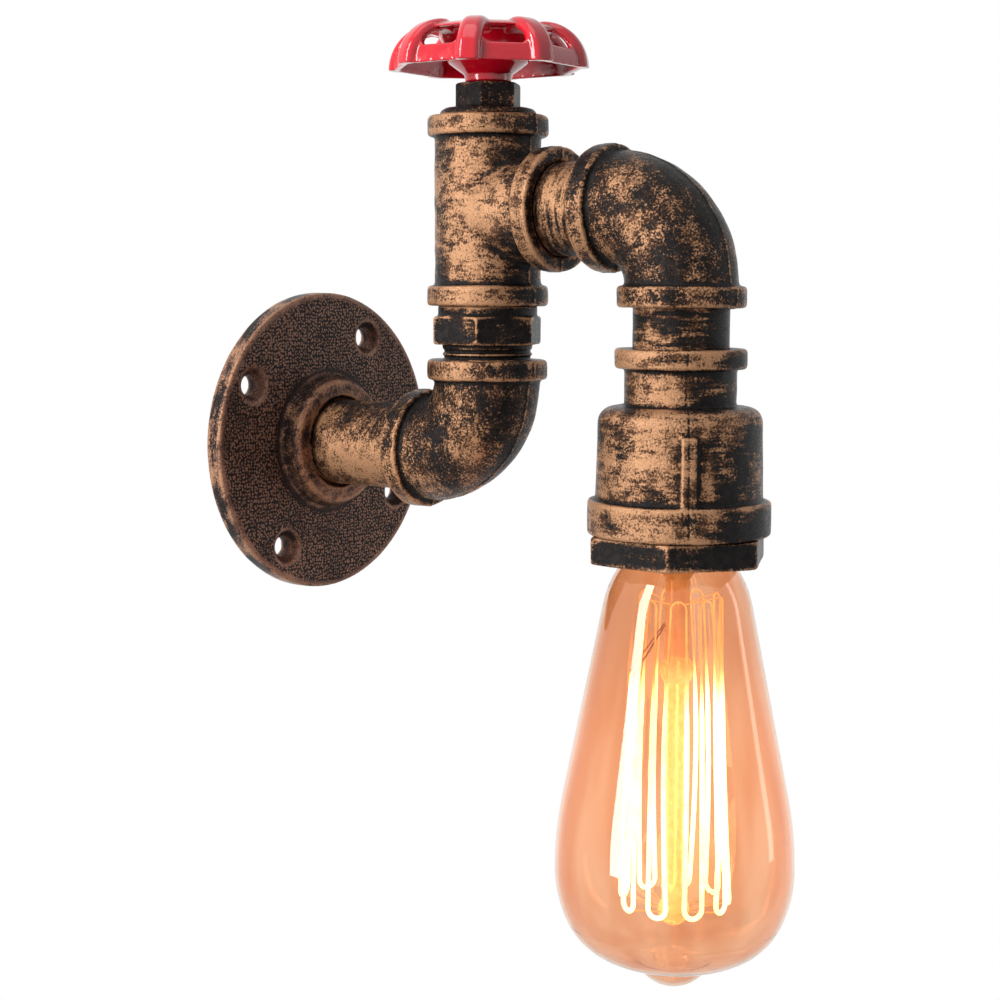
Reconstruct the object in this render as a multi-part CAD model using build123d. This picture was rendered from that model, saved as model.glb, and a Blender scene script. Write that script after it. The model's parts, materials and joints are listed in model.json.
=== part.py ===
"""Industrial pipe wall light: iron pipe fittings, a red valve handwheel and a large amber filament bulb.

Millimetres, +Z up. The origin is the centre of the flange's back face, on the wall plane Y = 0.
The light stands out from the wall along -Y and is symmetric about the plane X = 0.
"""
from build123d import *
from math import atan2, cos, degrees, floor, pi, radians, sin, sqrt, tan
import os

os.makedirs("parts", exist_ok=True)

# ---------------------------------------------------------------- driving dimensions
# Three-quarter inch pipe and its threads
pipe_diameter = 26.7
pipe_bore = 20.9
thread_pitch = 1.81
thread_depth = 0.9
thread_crest_share = 0.1      # of the pitch, from the start of a turn to its crest's far edge
thread_engagement = 12.0      # length of pipe screwed into a fitting
screwed_fit = 0.05            # radial room between a screwed end and its socket
socket_end_gap = 0.5          # room between the end of a pipe and the bottom of its socket
mouth_chamfer = 0.9

# Elbows and tee
fitting_reach = 27.65         # centre of a fitting to its end face
fitting_diameter = 31.4
band_diameter = 35.7
band_width = 6.0
band_rounding = 0.9

# Lengths of pipe left in sight between two fittings
wall_pipe_shown = 31.8
riser_shown = 15.8
branch_pipe_shown = 13.4
drop_pipe_shown = 11.05

# Wall flange
flange_diameter = 94.0
flange_thickness = 6.0
flange_rounding = 0.9
boss_height = 12.35           # from the wall to the boss rim
boss_base_diameter = 41.4
boss_rim_diameter = 39.4
boss_foot_rounding = 1.6
boss_mouth_diameter = 29.0
boss_mouth_depth = 2.0
screw_circle = 75.0
screw_count = 4
screw_first_angle = 60.0      # seen from the front, measured from +X
screw_hole_diameter = 6.2
countersink_diameter = 11.0
countersink_angle = 90.0

# Hexagon nipple in the riser
riser_hex_flats = 29.3
riser_hex_height = 8.3
riser_thread_shown = 4.45
riser_shoulder_diameter = 29.4
riser_hex_turn = 28.0         # from +X to a corner
hex_corner_cut = 0.9

# Reducing socket, also called the bell
bell_small_band_diameter = 36.5
bell_small_band_height = 5.6
bell_neck_diameter = 31.1
bell_neck_end = 15.9          # below the bell's top
bell_body_top_diameter = 45.2
bell_body_low_diameter = 46.5
bell_shoulder_rounding = 4.5
bell_body_end = 41.76         # below the bell's top
bell_large_band_diameter = 51.0
bell_large_band_height = 9.72
bell_wall = 3.4
bell_large_bore = 41.9        # the bushing screws in here
bell_large_bore_depth = 14.1
bell_rib_width = 4.4
bell_rib_proud = 1.2
bell_rib_rounding = 0.72
bell_rib_end_margin = 2.5
bell_rib_direction = -140.3   # from +X, with a second rib opposite

# Hexagon bushing that holds the lampholder in the bell
bushing_flats = 45.5
bushing_hex_height = 7.7
bushing_bore = 35.0
bushing_turn = 27.3
bushing_core_inset = 1.0      # of the turned core inside the hexagon's flats

# Bonnet in the top of the tee
bonnet_shoulder_diameter = 28.6
bonnet_shoulder_height = 2.15
bonnet_shoulder_rounding = 1.9
bonnet_hex_flats = 17.4
bonnet_hex_height = 7.3
bonnet_hex_turn = 27.0
bonnet_chamber_diameter = 14.0
bonnet_top_wall = 13.0        # solid height above the packing chamber

# Valve stem, packing, washer and nut
stem_diameter = 8.0
stem_running_fit = 0.05
stem_collar_diameter = 12.8
stem_collar_height = 2.0
stem_tail = 2.0
stem_square = 6.0
stem_square_fit = 0.05
stem_screw_diameter = 5.8
stem_screw_past_nut = 0.8
packing_height = 2.0
washer_diameter = 12.0
washer_thickness = 1.0
nut_flats = 10.0
nut_height = 4.5

# Handwheel: a dished wheel with eight arched ridges and a window between each pair
wheel_ridges = 8
wheel_ridge_radius = 29.7     # axis to the foot of a ridge
wheel_ridge_arch = 13.4
wheel_ridge_width = 7.2
wheel_ridge_depth = 3.2
wheel_ridge_rounding = 2.2
wheel_nose_drop = 1.0         # inner end of a ridge, down the dish
wheel_side_radius = 26.7      # axis to the flat side of the rim
wheel_side_arch = 12.5
wheel_wall = 1.8
wheel_rim_above_bonnet = 4.0
wheel_skirt_height = 5.0
wheel_window_width = 12.2
wheel_window_top = 10.6       # above the rim's lower edge
wheel_window_rounding = 1.5
wheel_hub_diameter = 13.8
wheel_hub_gap = 0.2           # running gap between hub and bonnet
wheel_hub_height = 4.4
wheel_hub_straight = 2.2
wheel_dish_knee = (11.8, 3.4) # radius, and rise above the straight part, where the dish turns steeper
wheel_dish_overlap = 0.5      # of the dish and the sides, and of the dish and the hub
wheel_first_ridge = -107.5    # from +X

# Lampholder for an E27 bulb
holder_flange_diameter = 41.2
holder_flange_thickness = 4.0
holder_body_clearance = 0.4   # round the body in the bell's cavity
holder_skirt_diameter = 33.6
holder_skirt_length = 11.0    # below the flange
holder_cavity_diameter = 28.2
holder_ceiling = 8.5          # above the step in the bell
holder_web = 4.0
shell_outer_diameter = 28.0
shell_inner_diameter = 26.6
shell_length = 21.0
shell_top_thickness = 0.5
shell_top_opening = 12.0
shell_groove_depth = 0.35
contact_leaf_length = 8.4
contact_leaf_width = 5.0
contact_leaf_thickness = 0.8
contact_leaf_drop = 1.5       # leaf's lower face below the ceiling
rivet_diameter = 2.6
rivet_fit = 0.05
contact_rivet_offset = 3.9
shell_rivet_offset = 7.9
terminal_offset = 6.0
terminal_length = 6.0
terminal_width = 7.0
terminal_height = 4.5
terminal_screw_diameter = 2.6
terminal_screw_head_diameter = 4.0
terminal_screw_head_height = 1.4
terminal_screw_length = 5.0
terminal_screw_slot = 0.7

# Bulb
bulb_length = 150.5
glass_wall = 0.8
cap_length = 26.0
cap_thread_diameter = 26.4
cap_thread_pitch = 3.63
cap_thread_depth = 0.9
cap_thread_length = 14.5
cap_skirt_diameter = 27.2
cap_skirt_length = 5.0
cap_metal = 0.6
cap_contact_diameter = 9.5
cap_contact_height = 1.4
cap_insulator_height = 4.0
cap_insulator_low_diameter = 20.0
glass_in_skirt_gap = 0.1
# Radius of the glass and height above its tip, from the neck down
glass_shoulder = (20.9, 109.3)
glass_belly_start = (31.7, 55.5)
glass_widest = (33.85, 34.5)
glass_belly_end = (30.4, 19.1)
glass_bowl_end = (21.3, 10.0)
glass_floor_end = (12.3, 6.9)
glass_pip_foot = (9.6, 5.1)
glass_cone_slope = 0.2008

# Glass mount and filament inside the bulb
mount_rod_diameter = 7.0
mount_flare_height = 11.0
mount_flare_rim = 1.0
mount_bead_diameter = 9.6
mount_bead_height = 91.0      # above the bulb's tip
mount_button_diameter = 9.0
mount_button_height = 22.0
filament_diameter = 0.5
filament_loops = 9            # loops at the lower hooks
filament_strand_angle = 19.0
filament_low_radius = 15.5
filament_high_radius = 12.5
filament_low_height = 26.5    # straight part of a strand, above the bulb's tip
filament_high_height = 110.0
filament_gap_direction = 130.0
filament_end_height = 89.5
hook_diameter = 0.4
hook_gap = 0.05
lead_start_height = 104.0

# Leads in the pipes
lead_diameter = 2.2
lead_spacing = 3.6
lead_spread_radius = 6.0
lead_spread_above = 15.0      # start of the spread above the terminals
lead_spread_length = 9.0

# ---------------------------------------------------------------- places worked out from them
pipe_radius = pipe_diameter / 2
socket_radius = pipe_radius + screwed_fit
socket_depth = thread_engagement + socket_end_gap
bend_radius = fitting_reach - band_width

riser_y = -(boss_height + wall_pipe_shown + fitting_reach)
tee_z = 2 * fitting_reach + riser_shown
drop_y = riser_y - 2 * fitting_reach - branch_pipe_shown
tee_top_z = tee_z + fitting_reach

bell_top_z = tee_z - fitting_reach - drop_pipe_shown
bell_bottom_z = bell_top_z - bell_body_end - bell_large_band_height
bell_step_z = bell_bottom_z + bell_large_bore_depth
bell_cavity_radius = bell_body_top_diameter / 2 - bell_wall
bell_ceiling_z = bell_top_z - bell_neck_end - bell_wall
bushing_bottom_z = bell_bottom_z - bushing_hex_height

holder_ceiling_z = bell_step_z + holder_ceiling
holder_top_z = holder_ceiling_z + holder_web
contact_z = holder_ceiling_z - contact_leaf_drop
terminal_top_z = holder_top_z + terminal_height

bulb_tip_z = contact_z - bulb_length
cap_low_z = contact_z - cap_length
glass_neck_radius = cap_skirt_diameter / 2 - cap_metal - glass_in_skirt_gap
glass_neck_top_z = cap_low_z + cap_skirt_length - cap_metal - glass_in_skirt_gap

bonnet_shoulder_z = tee_top_z + bonnet_shoulder_height
bonnet_top_z = bonnet_shoulder_z + bonnet_hex_height
packing_top_z = bonnet_top_z - bonnet_top_wall
wheel_rim_z = bonnet_top_z + wheel_rim_above_bonnet
wheel_hub_low_z = bonnet_top_z + wheel_hub_gap
wheel_hub_top_z = wheel_hub_low_z + wheel_hub_height
nut_low_z = wheel_hub_top_z + washer_thickness


# ---------------------------------------------------------------- helpers
def turned(outline):
    """Solid of revolution about Z from a closed half section of (radius, height) pairs."""
    corners = [(radius, 0, height) for radius, height in outline]
    return revolve(make_face(Polyline(*corners, close=True)), Axis.Z)


def rod(diameter, low, high):
    return Pos(0, 0, low) * extrude(Circle(diameter / 2), high - low)


def thread_outline(radius, depth, pitch, low, high):
    """Crests and roots of a thread between two heights, from low to high."""
    points = []
    for turn in range(floor((high - low) / pitch)):
        start = low + turn * pitch
        crest = thread_crest_share * pitch
        points += [(radius, start + crest), (radius - depth, start + pitch / 2),
                   (radius, start + pitch - crest)]
    return points


def hexagon(flats, low, height, turn, corner_cut):
    """Hexagonal prism with its corners turned off at both ends."""
    sides = Pos(0, 0, low) * Rot(0, 0, turn) * RegularPolygon(flats / 2, 6, major_radius=False)
    prism = extrude(sides, height)
    corner = flats / 2 / cos(pi / 6)
    drop = corner_cut / sqrt(3)
    high = low + height
    envelope = turned([(0, low), (corner - corner_cut, low), (corner, low + drop), (corner, high - drop),
                       (corner - corner_cut, high), (0, high)])
    return prism & envelope


def tube_on(path, diameter):
    """Round wire or tube of one diameter along a path."""
    section = Plane(origin=path @ 0, z_dir=path % 0) * Circle(diameter / 2)
    return sweep(section, path=path)


def straight_wire(start, end, diameter):
    return tube_on(Line(start, end), diameter)


def on_circle(radius, angle, height):
    return Vector(radius * cos(radians(angle)), radius * sin(radians(angle)), height)


def save(name, shape):
    export_step(shape, f"parts/{name}.step")


# ---------------------------------------------------------------- pipes
def nipple(length):
    """Pipe from height 0 up, threaded at both ends as far as it is screwed in."""
    inner = pipe_bore / 2
    edge = thread_depth
    low_thread = thread_outline(pipe_radius, thread_depth, thread_pitch, edge, thread_engagement)
    high_thread = thread_outline(pipe_radius, thread_depth, thread_pitch, length - thread_engagement,
                                 length - edge)
    outline = [(inner, 0), (pipe_radius - edge, 0), (pipe_radius, edge)]
    outline += low_thread + high_thread
    outline += [(pipe_radius, length - edge), (pipe_radius - edge, length), (inner, length)]
    return turned(outline)


def hexagon_nipple():
    """Threaded both ends, with a hexagon in sight, a stretch of thread below it and a shoulder above."""
    low = fitting_reach - thread_engagement
    hex_low = fitting_reach + riser_thread_shown
    hex_high = hex_low + riser_hex_height
    seat = fitting_reach + riser_shown
    high = seat + thread_engagement
    edge = thread_depth
    shoulder = riser_shoulder_diameter / 2
    outline = [(pipe_bore / 2, low), (pipe_radius - edge, low), (pipe_radius, low + edge)]
    outline += thread_outline(pipe_radius, thread_depth, thread_pitch, low + edge, hex_low)
    outline += [(pipe_radius, hex_low), (shoulder, hex_low), (shoulder, seat), (pipe_radius, seat)]
    outline += thread_outline(pipe_radius, thread_depth, thread_pitch, seat, high - edge)
    outline += [(pipe_radius, high - edge), (pipe_radius - edge, high), (pipe_bore / 2, high)]
    hexagon_part = hexagon(riser_hex_flats, hex_low, riser_hex_height, riser_hex_turn, hex_corner_cut)
    hexagon_part -= rod(pipe_bore, hex_low, hex_high)
    return Pos(0, riser_y, 0) * (turned(outline) + hexagon_part)


# ---------------------------------------------------------------- fittings
def band():
    """Raised rim of a fitting, standing on height 0."""
    ring = rod(band_diameter, 0, band_width)
    return fillet(ring.edges(), band_rounding)


def socket_bore():
    """What is cut from a fitting at an end face: threaded socket and mouth chamfer, from height 0 down."""
    mouth = socket_radius + mouth_chamfer
    return turned([(0, 0), (mouth, 0), (socket_radius, -mouth_chamfer), (socket_radius, -socket_depth),
                   (0, -socket_depth)])


def elbow():
    """Elbow with one end facing +Y and one facing +Z."""
    towards_y = Rot(-90, 0, 0)
    bend = TangentArc((0, bend_radius, 0), (0, 0, bend_radius), tangent=(0, -1, 0))
    body = tube_on(bend, fitting_diameter)
    passage = tube_on(bend, pipe_bore)
    for facing in (towards_y, Rot(0, 0, 0)):
        body += facing * Pos(0, 0, bend_radius) * band()
        passage += facing * rod(pipe_bore, bend_radius, fitting_reach)
        passage += facing * Pos(0, 0, fitting_reach) * socket_bore()
    return body - passage


def tee():
    """Tee with its run along Z and its branch facing -Y."""
    outwards = Rot(90, 0, 0)
    facings = (Rot(0, 0, 0), Rot(180, 0, 0), outwards)
    body = rod(fitting_diameter, -fitting_reach + band_width, fitting_reach - band_width)
    passage = rod(pipe_bore, -fitting_reach, fitting_reach)
    body += outwards * rod(fitting_diameter, 0, fitting_reach - band_width)
    passage += outwards * rod(pipe_bore, 0, fitting_reach)
    for facing in facings:
        body += facing * Pos(0, 0, fitting_reach - band_width) * band()
        passage += facing * Pos(0, 0, fitting_reach) * socket_bore()
    return body - passage


def wall_flange():
    """Round flange against the wall with a raised threaded boss and countersunk screw holes."""
    plate = fillet(rod(flange_diameter, 0, flange_thickness).edges(), flange_rounding)
    base = boss_base_diameter / 2
    rim = boss_rim_diameter / 2
    mouth = boss_mouth_diameter / 2
    foot = flange_thickness + boss_foot_rounding
    spread = base + boss_foot_rounding
    boss = turned([(0, flange_thickness / 2), (spread, flange_thickness / 2), (spread, flange_thickness),
                   (base, foot), (rim, boss_height - flange_rounding), (rim - flange_rounding, boss_height),
                   (0, boss_height)])
    bore = turned([(0, -1), (socket_radius, -1), (socket_radius, boss_height - boss_mouth_depth),
                   (mouth, boss_height - boss_mouth_depth / 2), (mouth, boss_height + 1),
                   (0, boss_height + 1)])
    body = plate + boss - bore
    sink_depth = (countersink_diameter - screw_hole_diameter) / 2 / tan(radians(countersink_angle / 2))
    hole = screw_hole_diameter / 2
    sink = countersink_diameter / 2
    cutter = turned([(0, -1), (hole, -1), (hole, flange_thickness - sink_depth), (sink, flange_thickness),
                     (sink, flange_thickness + 1), (0, flange_thickness + 1)])
    for number in range(screw_count):
        angle = screw_first_angle + number * 360 / screw_count
        body -= Pos(*on_circle(screw_circle / 2, angle, 0)) * cutter
    return Rot(90, 0, 0) * body


def reducing_socket():
    """Bell-shaped casting that hangs from the drop pipe and holds the lampholder."""
    neck = bell_neck_diameter / 2
    low = bell_body_low_diameter / 2
    top = bell_body_top_diameter / 2
    band_z = bell_top_z - bell_body_end
    neck_z = bell_top_z - bell_neck_end
    body = turned([(0, band_z), (low, band_z), (top, neck_z), (0, neck_z)])
    body = fillet(body.edges().group_by(Axis.Z)[-1], bell_shoulder_rounding)
    body += rod(bell_neck_diameter, neck_z, bell_top_z)
    small = rod(bell_small_band_diameter, bell_top_z - bell_small_band_height, bell_top_z)
    body += fillet(small.edges(), band_rounding)
    large = rod(bell_large_band_diameter, bell_bottom_z, band_z)
    body += fillet(large.edges(), band_rounding)
    rib_low = band_z
    rib_high = neck_z - bell_shoulder_rounding - bell_rib_end_margin
    rib_reach = low + bell_rib_proud
    rib = Pos(neck / 2, 0, rib_low) * Box(rib_reach - neck / 2, bell_rib_width, rib_high - rib_low,
                                          align=(Align.MIN, Align.CENTER, Align.MIN))
    rib = fillet(rib.edges().filter_by(Axis.Z).group_by(Axis.X)[-1], bell_rib_rounding)
    for turn in (0, 180):
        body += Rot(0, 0, bell_rib_direction + turn) * rib
    thread = bell_large_bore / 2
    body -= turned([(0, bell_bottom_z), (thread, bell_bottom_z), (thread, bell_step_z),
                    (bell_cavity_radius, bell_step_z), (bell_cavity_radius, bell_ceiling_z),
                    (0, bell_ceiling_z)])
    body -= rod(pipe_bore, bell_ceiling_z, bell_top_z)
    body -= Pos(0, 0, bell_top_z) * socket_bore()
    return Pos(0, drop_y, 0) * body


def hex_bushing():
    """Bushing screwed into the bell, whose upper end clamps the lampholder's flange."""
    spigot_top = bell_step_z - holder_flange_thickness
    radius = bell_large_bore / 2 - screwed_fit
    bore = bushing_bore / 2
    core = bushing_flats / 2 - bushing_core_inset
    outline = [(bore, bushing_bottom_z), (core, bushing_bottom_z), (core, bell_bottom_z),
               (radius, bell_bottom_z)]
    outline += thread_outline(radius, thread_depth, thread_pitch, bell_bottom_z, spigot_top)
    outline += [(radius, spigot_top), (bore, spigot_top)]
    prism = hexagon(bushing_flats, bushing_bottom_z, bushing_hex_height, bushing_turn, hex_corner_cut)
    prism -= rod(bushing_bore, bushing_bottom_z, bell_bottom_z)
    return Pos(0, drop_y, 0) * (turned(outline) + prism)


# ---------------------------------------------------------------- bonnet, stem and handwheel
def bonnet():
    """Plug in the top of the tee with a rounded shoulder and a hexagon; the stem turns in it."""
    low = tee_top_z - thread_engagement
    edge = thread_depth
    outline = [(0, low), (pipe_radius - edge, low), (pipe_radius, low + edge)]
    outline += thread_outline(pipe_radius, thread_depth, thread_pitch, low + edge, tee_top_z)
    outline += [(pipe_radius, tee_top_z), (0, tee_top_z)]
    shoulder = rod(bonnet_shoulder_diameter, tee_top_z, bonnet_shoulder_z)
    shoulder = fillet(shoulder.edges().group_by(Axis.Z)[-1], bonnet_shoulder_rounding)
    body = turned(outline) + shoulder
    body += hexagon(bonnet_hex_flats, bonnet_shoulder_z, bonnet_hex_height, bonnet_hex_turn, hex_corner_cut)
    body -= rod(stem_diameter + 2 * stem_running_fit, low, bonnet_top_z)
    body -= rod(bonnet_chamber_diameter, low, packing_top_z)
    return Pos(0, riser_y, 0) * body


def packing_ring():
    chamber = bonnet_chamber_diameter / 2 - screwed_fit
    inner = stem_diameter / 2 + stem_running_fit
    low = packing_top_z - packing_height
    ring = turned([(inner, low), (chamber, low), (chamber, packing_top_z), (inner, packing_top_z)])
    return Pos(0, riser_y, 0) * ring


def valve_stem():
    """Round stem with a collar below the packing, a square for the wheel and a screw thread for the nut."""
    collar_top = packing_top_z - packing_height
    collar_low = collar_top - stem_collar_height
    stem = rod(stem_diameter, collar_low - stem_tail, bonnet_top_z)
    stem += rod(stem_collar_diameter, collar_low, collar_top)
    stem += Pos(0, 0, bonnet_top_z) * Box(stem_square, stem_square, wheel_hub_top_z - bonnet_top_z,
                                          align=(Align.CENTER, Align.CENTER, Align.MIN))
    stem += rod(stem_screw_diameter, wheel_hub_top_z, nut_low_z + nut_height + stem_screw_past_nut)
    return Pos(0, riser_y, 0) * stem


def wheel_washer():
    inner = stem_screw_diameter / 2 + screwed_fit
    outer = washer_diameter / 2
    washer = turned([(inner, wheel_hub_top_z), (outer, wheel_hub_top_z), (outer, nut_low_z),
                     (inner, nut_low_z)])
    return Pos(0, riser_y, 0) * washer


def wheel_nut():
    nut = hexagon(nut_flats, nut_low_z, nut_height, 0, hex_corner_cut / 2)
    nut -= rod(stem_screw_diameter + 2 * screwed_fit, nut_low_z, nut_low_z + nut_height)
    return Pos(0, riser_y, 0) * nut


def arch_point(centre, arch, angle):
    """Point of an arch of the wheel in the plane Y = 0: angle 0 is at the rim's edge, 90 at the top."""
    return on_circle(arch, angle, 0).rotate(Axis.X, 90) + Vector(centre, 0, wheel_rim_z)


def arch_section(radius, arch, depth):
    """Quarter ring in the plane Y = 0, from the rim's lower edge up and in to the top of the arch."""
    outer = [arch_point(radius - arch, arch, angle) for angle in (0, 45, 90)]
    inner = [arch_point(radius - arch, arch - depth, angle) for angle in (0, 45, 90)]
    edges = [ThreePointArc(*outer), Line(outer[2], inner[2]), ThreePointArc(*inner), Line(inner[0], outer[0])]
    return make_face(edges)


def wheel_side():
    """One of the straight sides of the rim, facing +X, with its window cut."""
    section = arch_section(wheel_side_radius, wheel_side_arch, wheel_wall)
    reach = wheel_ridge_radius * tan(pi / wheel_ridges)
    side = extrude(section, reach, both=True)
    far = 2 * wheel_ridge_radius
    half = far * tan(pi / wheel_ridges)
    eighth = make_face(Polyline((0, 0), (far, -half), (far, half), close=True))
    wedge = Pos(0, 0, wheel_rim_z) * extrude(eighth, far)
    low = wheel_rim_z + wheel_skirt_height
    window_height = wheel_window_top - wheel_skirt_height
    opening = RectangleRounded(wheel_window_width, window_height, wheel_window_rounding)
    window = Plane.YZ * Pos(0, low + window_height / 2) * opening
    return (side & wedge) - extrude(window, far)


def wheel_ridge():
    """One arched ridge along +X, rounded over its crown, from the rim to the dish."""
    centre = wheel_ridge_radius - wheel_ridge_arch
    inner_arch = wheel_ridge_arch - wheel_ridge_depth
    outer = [arch_point(centre, wheel_ridge_arch, angle) for angle in (0, 45, 90)]
    inner = [arch_point(centre, inner_arch, angle) for angle in (90, 45, 0)]
    nose_centre = inner[0]
    nose = [nose_centre + on_circle(wheel_ridge_depth, angle, 0).rotate(Axis.X, 90)
            for angle in (90, 135, 180)]
    nose_low = nose[2] - Vector(0, 0, wheel_nose_drop)
    edges = [ThreePointArc(*outer), ThreePointArc(*nose), Line(nose[2], nose_low), Line(nose_low, inner[0]),
             ThreePointArc(*inner), Line(inner[2], outer[0])]
    ridge = extrude(make_face(edges), wheel_ridge_width / 2, both=True)
    crown_arches = (wheel_ridge_arch, wheel_ridge_depth)
    crown = ridge.edges().filter_by(GeomType.CIRCLE).filter_by(
        lambda edge: min(abs(edge.radius - arch) for arch in crown_arches) < 0.01)
    return fillet(crown, wheel_ridge_rounding)


def handwheel():
    """Dished wheel: hub, conical dish, eight rim sides with windows and eight arched ridges."""
    hub = wheel_hub_diameter / 2
    brim = wheel_side_radius - wheel_side_arch
    brim_z = wheel_rim_z + wheel_side_arch
    dish_low_z = wheel_hub_low_z + wheel_hub_straight
    knee, knee_rise = wheel_dish_knee
    outer = brim + wheel_dish_overlap
    knee_z = dish_low_z + knee_rise
    wheel = turned([(0, wheel_hub_low_z), (hub, wheel_hub_low_z), (hub, dish_low_z), (knee, knee_z),
                    (outer, brim_z - wheel_wall), (outer, brim_z), (brim - wheel_wall, brim_z),
                    (knee - wheel_wall, knee_z + wheel_wall / 2), (hub + wheel_dish_overlap, wheel_hub_top_z),
                    (0, wheel_hub_top_z)])
    for number in range(wheel_ridges):
        turn = wheel_first_ridge + number * 360 / wheel_ridges
        wheel += Rot(0, 0, turn) * wheel_ridge()
        wheel += Rot(0, 0, turn + 180 / wheel_ridges) * wheel_side()
    square = stem_square + 2 * stem_square_fit
    wheel -= Pos(0, 0, wheel_hub_low_z) * Box(square, square, wheel_hub_height,
                                              align=(Align.CENTER, Align.CENTER, Align.MIN))
    return Pos(0, riser_y, 0) * wheel


# ---------------------------------------------------------------- lampholder
def lampholder_body():
    """Porcelain body: flange clamped in the bell, skirt round the bulb's cap and a web with two rivet holes."""
    outer = bell_cavity_radius - holder_body_clearance
    flange = holder_flange_diameter / 2
    skirt = holder_skirt_diameter / 2
    cavity = holder_cavity_diameter / 2
    flange_low = bell_step_z - holder_flange_thickness
    skirt_low = flange_low - holder_skirt_length
    body = turned([(0, holder_top_z), (outer, holder_top_z), (outer, bell_step_z), (flange, bell_step_z),
                   (flange, flange_low), (skirt, flange_low), (skirt, skirt_low), (cavity, skirt_low),
                   (cavity, holder_ceiling_z), (0, holder_ceiling_z)])
    hole = rod(rivet_diameter + 2 * rivet_fit, holder_ceiling_z, holder_top_z)
    body -= Pos(contact_rivet_offset, 0, 0) * hole
    body -= Pos(-shell_rivet_offset, 0, 0) * hole
    return Pos(0, drop_y, 0) * body


def lampholder_shell():
    """Brass screw shell with its rivet up to the neutral terminal."""
    outer = shell_outer_diameter / 2
    inner = shell_inner_diameter / 2
    top = holder_ceiling_z
    under = top - shell_top_thickness
    low = top - shell_length
    outline = [(shell_top_opening / 2, top), (outer, top), (outer, low), (inner, low)]
    outline += thread_outline(inner, -shell_groove_depth, cap_thread_pitch, low, under)
    outline += [(inner, under), (shell_top_opening / 2, under)]
    shell = turned(outline) + Pos(-shell_rivet_offset, 0, 0) * rod(rivet_diameter, top, holder_top_z)
    return Pos(0, drop_y, 0) * shell


def lampholder_contact():
    """Contact leaf above the bulb's cap with its rivet up to the live terminal."""
    leaf = Pos(contact_rivet_offset + rivet_diameter / 2, 0, contact_z) * Box(
        contact_leaf_length, contact_leaf_width, contact_leaf_thickness,
        align=(Align.MAX, Align.CENTER, Align.MIN))
    rivet = rod(rivet_diameter, contact_z + contact_leaf_thickness, holder_top_z)
    return Pos(0, drop_y, 0) * (leaf + Pos(contact_rivet_offset, 0, 0) * rivet)


def terminal(side):
    """Brass block on the lampholder's web, with a screw hole from its -Y side."""
    block = Pos(side * terminal_offset, 0, holder_top_z) * Box(
        terminal_length, terminal_width, terminal_height, align=(Align.CENTER, Align.CENTER, Align.MIN))
    hole_z = holder_top_z + terminal_height / 2
    face = terminal_width / 2
    hole = rod(terminal_screw_diameter + 2 * screwed_fit, face - terminal_screw_length, face)
    placed = Pos(side * terminal_offset, 0, hole_z) * Rot(90, 0, 0) * hole
    return Pos(0, drop_y, 0) * (block - placed)


def terminal_screws():
    screws = []
    for side in (-1, 1):
        face = terminal_width / 2
        screw = rod(terminal_screw_diameter, face - terminal_screw_length, face)
        screw += rod(terminal_screw_head_diameter, face, face + terminal_screw_head_height)
        slot = Pos(0, 0, face + terminal_screw_head_height) * Box(
            terminal_screw_head_diameter, terminal_screw_slot, terminal_screw_head_height)
        placed = Pos(side * terminal_offset, drop_y, holder_top_z + terminal_height / 2) * Rot(90, 0, 0)
        screws.append(placed * (screw - slot))
    return Compound(children=screws)


# ---------------------------------------------------------------- bulb
def glass_point(place):
    """A named point of the glass outline as a point in the plane Y = 0."""
    radius, height = place
    return Vector(radius, 0, bulb_tip_z + height)


def dome(foot, tip):
    """Arc from a foot down to the tip on the axis, part of a sphere whose centre is on the axis."""
    from_tip = TangentArc(tip, foot, tangent=(1, 0, 0))
    return TangentArc(foot, tip, tangent=-(from_tip % 1))


def glass_outline():
    """Outside of the glass in the plane Y = 0, from the neck down to the tip."""
    neck_low = Vector(glass_neck_radius, 0, cap_low_z)
    shoulder = glass_point(glass_shoulder)
    cone_up = Vector(-glass_cone_slope, 0, 1)
    shoulder_curve = TangentArc(shoulder, neck_low, tangent=cone_up)
    edges = [Line(Vector(glass_neck_radius, 0, glass_neck_top_z), neck_low),
             TangentArc(neck_low, shoulder, tangent=-(shoulder_curve % 1)),
             Line(shoulder, glass_point(glass_belly_start))]
    for place in (glass_widest, glass_belly_end, glass_bowl_end, glass_floor_end, glass_pip_foot):
        edges.append(TangentArc(edges[-1] @ 1, glass_point(place), tangent=edges[-1] % 1))
    return edges + [dome(edges[-1] @ 1, glass_point((0, 0)))]


def moved_in(edge, at_end):
    """End of an outline edge, moved one wall thickness into the bulb."""
    along = edge % at_end
    return edge @ at_end + Vector(along.Z, 0, -along.X) * glass_wall


def bulb_glass():
    """Blown glass: neck in the cap, long cone, round belly and the sealed pip at the tip."""
    outside = glass_outline()
    inside = []
    for edge in outside[:-1]:
        start = inside[-1] @ 1 if inside else moved_in(edge, 0)
        end = moved_in(edge, 1)
        if edge.geom_type == GeomType.LINE:
            inside.append(Line(start, end))
        else:
            inside.append(TangentArc(start, end, tangent=edge % 0))
    inside.append(dome(inside[-1] @ 1, Vector(0, 0, bulb_tip_z + glass_wall)))
    rim = Line(inside[0] @ 0, outside[0] @ 0)
    tip = Line(outside[-1] @ 1, inside[-1] @ 1)
    return Pos(0, drop_y, 0) * revolve(make_face(outside + [tip] + inside + [rim]), Axis.Z)


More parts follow.
